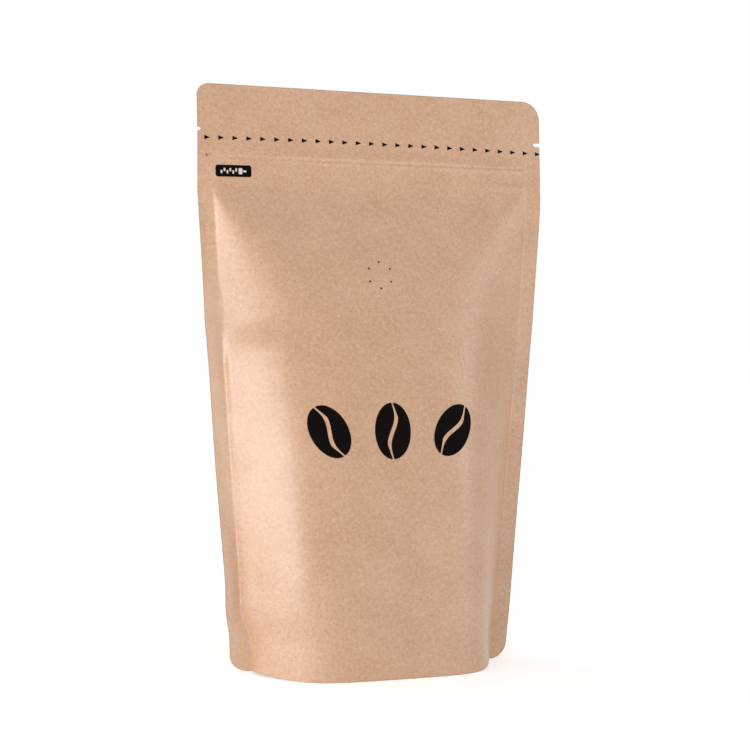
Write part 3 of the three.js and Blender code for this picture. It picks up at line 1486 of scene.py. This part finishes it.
@dataclass(frozen=True)
class PrintedInk:
    """Flexographic ink on kraft: thin, so the paper's grain breaks its colour a little.

    The grain is drawn coarser than the real one, to show. The painted shade in a pinhole is made
    alike.
    """

    name: str
    colour: str
    worn: str
    sheet_height: float
    roughness: float = 0.65
    specular: float = 0.05
    grain_mm: float = 0.7
    worn_mask: tuple[float, float] = (0.45, 0.8)
    bump_strength: float = 0.4
    bump_mm: float = 0.02

    def make(self) -> Material:
        """Builds the material.

        Returns:
            The ink.
        """
        material, tree, shader = new_finish(self.name)
        film = add_node(tree, "ShaderNodeUVMap", uv_map=FILM_MAP).outputs["UV"]
        size = {"Scale": self.sheet_height / self.grain_mm, "Detail": 2.0}
        grain = add_node(tree, "ShaderNodeTexNoise", size, {"Vector": film}).outputs["Fac"]
        thin = add_node(tree, "ShaderNodeMapRange", ends(self.worn_mask), {"Value": grain})
        colours = {"A": linear_colour(self.colour), "B": linear_colour(self.worn)}
        share = {"Factor": thin.outputs["Result"]}
        mix = add_node(tree, "ShaderNodeMix", colours, share, data_type="RGBA")
        relief = {"Strength": self.bump_strength, "Distance": self.bump_mm * MM}
        bump = add_node(tree, "ShaderNodeBump", relief, {"Height": grain})
        values = {"Roughness": self.roughness, "Specular IOR Level": self.specular}
        links = {"Base Color": mix.outputs["Result"], "Normal": bump.outputs["Normal"]}
        feed(tree, shader, values, links)
        return material


# ---- Studio ----


def away(azimuth: float, elevation: float) -> Array:
    """Unit way from the pouch: azimuth 0 is straight in front and grows towards +X.

    Args:
        azimuth: Angle round the pouch, in radians.
        elevation: Angle above the floor, in radians.

    Returns:
        The way, as (sin a cos e, -cos a cos e, sin e).
    """
    level = math.cos(elevation)
    return np.array([math.sin(azimuth) * level, -math.cos(azimuth) * level, math.sin(elevation)])


@dataclass(frozen=True)
class PhotoCamera:
    """The photograph's view, fitted to the pouch's outline in its 750 pixel frame.

    Lengths are in millimetres, but for the clip distances, and angles in radians.
    """

    turn: float = 0.3837
    distance: float = 795.6
    height: float = 148.07
    pitch: float = 0.026
    roll: float = -0.0083
    aside: float = 0.60
    focal_pixels: float = 1827.8
    frame_pixels: float = 750.0
    sensor: float = 36.0
    clip: tuple[float, float] = (0.02, 20.0)

    def build(self) -> Object:
        """Places the camera to the left of the front, level with the pouch's upper half.

        Returns:
            The camera's object, which the scene then uses.
        """
        look = Vector(-away(-self.turn, self.pitch))
        level = Vector((math.cos(self.turn), -math.sin(self.turn), 0.0))
        up = level.cross(look)
        right = level * math.cos(self.roll) - up * math.sin(self.roll)
        top = level * math.sin(self.roll) + up * math.cos(self.roll)
        data = bpy.data.cameras.new("photo_camera")
        data.sensor_width = self.sensor
        data.lens = self.focal_pixels / self.frame_pixels * self.sensor
        data.clip_start, data.clip_end = self.clip
        camera = linked("photo_camera", data)
        stand = away(-self.turn, 0.0) * self.distance + np.array([self.aside, 0.0, self.height])
        turned = Matrix((right, top, -look)).transposed().to_4x4()
        camera.matrix_world = Matrix.Translation(Vector(stand) * MM) @ turned
        bpy.context.scene.camera = camera
        return camera


@dataclass(frozen=True)
class SoftBox:
    """One large soft light, aimed at the pouch's middle; angles in degrees, lengths in metres."""

    name: str
    azimuth: float
    elevation: float
    distance: float
    width: float
    height: float
    power: float
    aim_height: float = 0.12

    def build(self) -> Object:
        """Places the light; azimuth 0 is straight in front, and turns towards +X.

        Returns:
            The light's object.
        """
        data = bpy.data.lights.new(self.name, "AREA")
        data.shape = "RECTANGLE"
        data.size = self.width
        data.size_y = self.height
        data.energy = self.power
        light = linked(self.name, data)
        way = Vector(away(math.radians(self.azimuth), math.radians(self.elevation)))
        light.location = Vector((0.0, 0.0, self.aim_height)) + way * self.distance
        light.rotation_euler = way.to_track_quat("Z", "Y").to_euler()
        return light


@dataclass(frozen=True)
class Studio:
    """A plain pale floor that glows softly, a dim room with a bright backdrop, and lights.

    Lengths are in metres and angles in degrees. The floor's glow grows from near to far
    over a band of distances. The room is dim in front and bright behind, and the backdrop's
    edges are cosines of the angle from its middle.
    """

    floor_half: float = 6.0
    floor_colour: str = "#F4F4F3"
    floor_roughness: float = 0.8
    glow: tuple[float, float] = (0.475, 0.72)
    glow_band: tuple[float, float] = (0.25, 0.8)
    room: tuple[float, float] = (0.395, 1.0)
    backdrop_azimuth: float = 21.6
    backdrop_edges: tuple[float, float] = (0.9, 0.957)
    lights: tuple[SoftBox, ...] = (
        SoftBox("left_low_softbox", -65.0, 0.0, 0.8, 0.7, 0.3, 3.2),
        SoftBox("left_side_softbox", -100.0, 0.0, 0.8, 0.7, 0.3, 1.6),
        SoftBox("left_rear_softbox", -140.0, 5.0, 1.1, 0.7, 1.1, 6.2),
        SoftBox("right_softbox", 52.0, 8.0, 1.1, 0.5, 1.1, 2.7),
        SoftBox("front_high_softbox", 0.0, 60.0, 1.1, 0.7, 0.7, 1.9),
    )

    def build_floor(self) -> Object:
        """Makes the floor as one large flat sheet with a faint glow of its own.

        Returns:
            The floor's object.
        """
        half = self.floor_half
        mesh = bpy.data.meshes.new("studio_floor")
        corners = [(-half, -half, 0), (half, -half, 0), (half, half, 0), (-half, half, 0)]
        mesh.from_pydata(corners, [], [(0, 1, 2, 3)])
        floor = linked("studio_floor", mesh)
        material, tree, shader = new_finish("painted_studio_floor")
        place = add_node(tree, "ShaderNodeTexCoord").outputs["Object"]
        out = add_node(tree, "ShaderNodeVectorMath", links={0: place}, operation="LENGTH")
        band = ends(self.glow_band, self.glow)
        glow = add_node(tree, "ShaderNodeMapRange", band, {"Value": out.outputs["Value"]})
        paint = linear_colour(self.floor_colour)
        values = {"Base Color": paint, "Emission Color": paint, "Roughness": self.floor_roughness}
        feed(tree, shader, values, {"Emission Strength": glow.outputs["Result"]})
        mesh.materials.append(material)
        return floor

    def build_room(self) -> bpy.types.World:
        """Makes the room's light: bright behind the pouch, dimmer on the camera's side.

        Returns:
            The world.
        """
        world = bpy.data.worlds.new("studio_room")
        world.use_nodes = True
        tree = world.node_tree
        tree.nodes.clear()
        look = {0: add_node(tree, "ShaderNodeTexCoord").outputs["Generated"]}
        towards = math.radians(self.backdrop_azimuth)
        behind = {1: (math.sin(towards), math.cos(towards), 0.0)}
        facing = add_node(tree, "ShaderNodeVectorMath", behind, look, operation="DOT_PRODUCT")
        edge = ends(self.backdrop_edges, self.room)
        light = add_node(tree, "ShaderNodeMapRange", edge, {"Value": facing.outputs["Value"]})
        white = {"Color": (1.0, 1.0, 1.0, 1.0)}
        strength = {"Strength": light.outputs["Result"]}
        room = add_node(tree, "ShaderNodeBackground", white, strength)
        add_node(tree, "ShaderNodeOutputWorld", links={"Surface": room.outputs[0]})
        bpy.context.scene.world = world
        return world

    def build(self) -> None:
        """Builds the floor, the room and the lights."""
        self.build_floor()
        self.build_room()
        for light in self.lights:
            light.build()
        bpy.context.scene.view_settings.view_transform = "Standard"


# ---- Assembly ----


@dataclass
class CoffeePouch:
    """The whole pouch: its film parts and its prints."""

    sizes: PouchSizes = PouchSizes()
    left: HalfShape = HalfShape()
    right: HalfShape = HalfShape(
        seal=7.1,
        top_radius=8.2,
        bottom_radius=7.1,
        notch_half=0.82,
        notch_depth=3.2,
        notch_power=4,
        ridge_body=38.3,
        ridge_top=72.6,
        ridge_ends=211.0,
        apex_softness=1.0,
        ridge_power=1.3,
        foot_shift=1.07,
        foot_softness=1.02,
        seal_growth=0.5,
        lift=0.0,
        wave_rise=0.31,
        wave_phase=5.03,
    )

    def build(self) -> None:
        """Builds every piece and dresses it, and hides the imported pouch part."""
        sizes = self.sizes
        left = FilledFilm(sizes, self.left)
        right = FilledFilm(sizes, self.right)
        front_relief = Relief(sizes, Cockle(seed=11))
        back_relief = Relief(sizes, Cockle(seed=23), valve_rise=0.0, tuck_side=1.0)
        front = Panel(sizes, left, right, front_relief, Side.FRONT)
        back = Panel(sizes, left, right, back_relief, Side.BACK)
        kraft = KraftLaminate(sizes.height).make()
        edge = CutEdge(sizes.height).make()
        for part in (front, back, Gusset(sizes, front, back)):
            piece = part.build()
            self._dress(piece, kraft, edge)
            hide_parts(NODE)
        black = PrintedInk("black_flexo_ink", "#0A0706", "#150F0C", sizes.height).make()
        pale = PrintedInk("pale_flexo_ink", "#D8CFC6", "#B9A693", sizes.height).make()
        brown = PrintedInk("brown_flexo_ink", "#A07A57", "#AE8862", sizes.height).make()
        # Painted shade for the pinholes: dark discs laid where the holes are.
        pinhole_shade = PrintedInk("pinhole_shadow", "#2A1B12", "#3A281B", sizes.height).make()
        pad = InkPad(front)
        badge = ClosureBadge(pad)
        prints = (
            (TearLine(pad).build, Slot.INK, black),
            (badge.build, Slot.INK, black),
            (badge.build_teeth, Slot.INK, pale),
            (BeanRow(pad).build, Slot.INK, black),
            (EyeMark(pad).build, Slot.INK, brown),
            (ValvePinholes(pad).build, Slot.KRAFT, pinhole_shade),
        )
        for build, slot, ink in prints:
            self._dress(build(), ink, ink)

    def _dress(self, piece: Object, face: Material, edge: Material) -> None:
        """Gives a piece its finishes and body.

        Args:
            piece: The finished piece.
            face: The material of its faces.
            edge: The material of its cut edge.
        """
        piece.data.materials.append(face)
        piece.data.materials.append(edge)
        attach(piece, BODY)
        log.info("%s: %d faces", piece.name, len(piece.data.polygons))


def main() -> None:
    """Builds the camera, the studio and the pouch."""
    logging.basicConfig(level=logging.INFO, format="%(name)s: %(message)s")
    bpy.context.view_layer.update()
    PhotoCamera().build()
    Studio().build()
    CoffeePouch().build()


if __name__ == "__main__":
    main()
